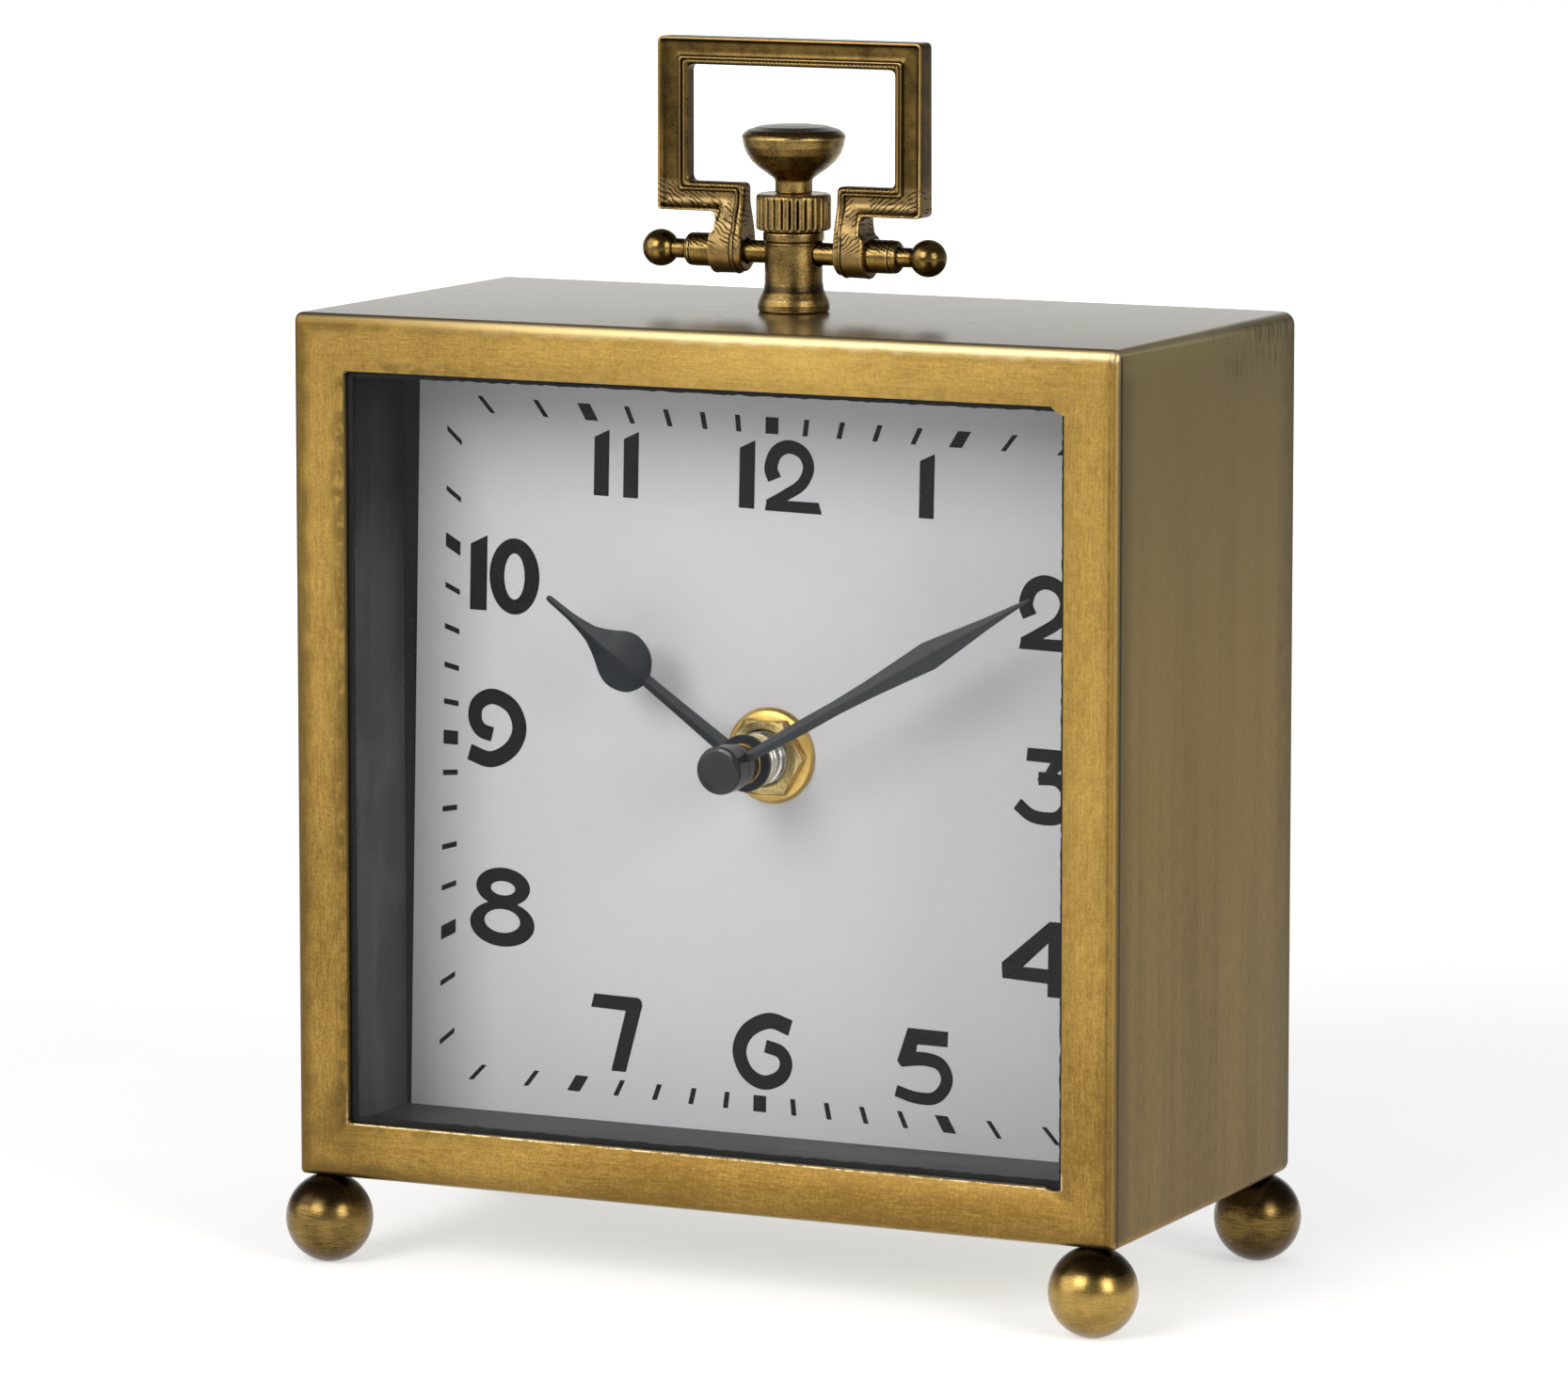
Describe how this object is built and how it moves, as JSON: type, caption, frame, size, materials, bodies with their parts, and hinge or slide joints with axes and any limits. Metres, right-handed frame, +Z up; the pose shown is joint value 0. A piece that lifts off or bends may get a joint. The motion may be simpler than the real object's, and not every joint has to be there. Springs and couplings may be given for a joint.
{
  "type": "table clock",
  "caption": "Square metal table clock on ball feet, with a deep glazed dial, black hands, a quartz movement and a swinging bail handle over a crown knob.",
  "frame": {"origin": "on the floor, under the middle of the case", "axes": "+X to the right seen from the front, +Y from the dial towards the back, +Z up"},
  "size_m": [0.1368, 0.0734, 0.1814],
  "materials": {
    "case_brass": "brushed and lacquered sheet, worn and spotted with age",
    "feet_brass": "turned, lacquered, tarnished",
    "fittings_bronze": "turned or cast, toned dark brown, rubbed bright on the edges",
    "polished_brass": "polished",
    "black_hands": "satin black enamel",
    "black_plastic": "moulded, satin",
    "black_liner": "matt black",
    "nylon": "moulded",
    "plated_steel": "zinc plated",
    "nickel": "nickel plated",
    "glass": "clear flat pane",
    "rubber": "matt",
    "paper": "matt printed paper",
    "fibreboard": "raw pressed board",
    "copper_wire": "enamelled winding",
    "circuit_green": "solder mask",
    "cell_wrap": "plain printed wrap",
    "black_panel": "matt black paint"
  },
  "bodies": {
    "case": {"case_shell": "case_brass", "foot_front_left": "feet_brass", "foot_front_right": "feet_brass", "foot_rear_left": "feet_brass", "foot_rear_right": "feet_brass", "glass_gasket": "rubber", "glass_pane": "glass", "dial_liner": "black_liner", "dial_paper": "paper", "dial_board": "fibreboard", "dial_clip_lower_left": "plated_steel", "dial_clip_upper_left": "plated_steel", "dial_clip_lower_right": "plated_steel", "dial_clip_upper_right": "plated_steel", "dial_washer": "polished_brass", "dial_nut": "polished_brass", "threaded_bushing": "nickel", "rubber_washer": "rubber", "stator": "plated_steel", "coil_core": "plated_steel", "coil": "copper_wire", "circuit_board": "circuit_green", "quartz_crystal": "nickel", "bridge_plate": "nylon", "movement_tray": "black_plastic", "movement_cover": "black_plastic", "battery_contact_plus": "nickel", "battery_contact_minus": "nickel", "battery": "cell_wrap", "panel_bracket_lower_left": "plated_steel", "panel_bracket_upper_left": "plated_steel", "panel_bracket_lower_right": "plated_steel", "panel_bracket_upper_right": "plated_steel", "panel_screw_lower_left": "plated_steel", "panel_screw_upper_left": "plated_steel", "panel_screw_lower_right": "plated_steel", "panel_screw_upper_right": "plated_steel", "back_panel": "black_panel", "column": "fittings_bronze", "knurled_collar": "fittings_bronze", "crown_knob": "fittings_bronze", "column_washer": "plated_steel", "column_screw": "plated_steel", "handle_rod": "fittings_bronze", "rod_finial_left": "fittings_bronze", "rod_finial_right": "fittings_bronze"},
    "handle": {"handle": "fittings_bronze"},
    "minute": {"minute_arbor": "plated_steel", "minute_hand": "black_hands", "minute_hand_bush": "polished_brass", "hand_cap": "black_plastic"},
    "hour": {"hour_wheel": "polished_brass", "hour_hand": "black_hands"},
    "motion": {"motion_wheel": "nylon"},
    "knob": {"set_knob": "black_plastic"},
    "rotor": {"rotor": "plated_steel"},
    "fifth": {"fifth_wheel": "nylon"},
    "seconds": {"seconds_wheel": "nylon"},
    "third": {"third_wheel": "nylon"},
    "centre": {"centre_wheel": "nylon"}
  },
  "joints": [
    {"name": "handle_swing", "type": "hinge", "parent": "case", "child": "handle", "pos_m": [0, 0, 0.1501], "axis": [1, 0, 0], "range_deg": [-101, 101]},
    {"name": "minute_turn", "type": "hinge", "parent": "case", "child": "minute", "pos_m": [0, 0, 0.0768], "axis": [0, 1, 0], "continuous": true},
    {"name": "hour_turn", "type": "hinge", "parent": "case", "child": "hour", "pos_m": [0, 0, 0.0768], "axis": [0, 1, 0], "continuous": true},
    {"name": "motion_turn", "type": "hinge", "parent": "case", "child": "motion", "pos_m": [0.00617, 0, 0.08415], "axis": [0, 1, 0], "continuous": true},
    {"name": "knob_turn", "type": "hinge", "parent": "case", "child": "knob", "pos_m": [0.01234, 0, 0.09151], "axis": [0, 1, 0], "continuous": true},
    {"name": "rotor_turn", "type": "hinge", "parent": "case", "child": "rotor", "pos_m": [-0.00047, 0, 0.09089], "axis": [0, 1, 0], "continuous": true},
    {"name": "fifth_turn", "type": "hinge", "parent": "case", "child": "fifth", "pos_m": [-0.00309, 0, 0.08634], "axis": [0, 1, 0], "continuous": true},
    {"name": "seconds_turn", "type": "hinge", "parent": "case", "child": "seconds", "pos_m": [-0.009, 0, 0.0853], "axis": [0, 1, 0], "continuous": true},
    {"name": "third_turn", "type": "hinge", "parent": "case", "child": "third", "pos_m": [-0.009, 0, 0.0768], "axis": [0, 1, 0], "continuous": true},
    {"name": "centre_turn", "type": "hinge", "parent": "case", "child": "centre", "pos_m": [0, 0, 0.0768], "axis": [0, 1, 0], "continuous": true}
  ],
  "couplings": [
    {"joint": "hour_turn", "follows": "minute_turn", "ratio": 0.083333},
    {"joint": "motion_turn", "follows": "minute_turn", "ratio": -0.33333},
    {"joint": "knob_turn", "follows": "minute_turn", "ratio": 1},
    {"joint": "fifth_turn", "follows": "rotor_turn", "ratio": -0.16667},
    {"joint": "seconds_turn", "follows": "rotor_turn", "ratio": 0.033333},
    {"joint": "third_turn", "follows": "rotor_turn", "ratio": -0.0044444},
    {"joint": "centre_turn", "follows": "rotor_turn", "ratio": 0.00055556}
  ]
}
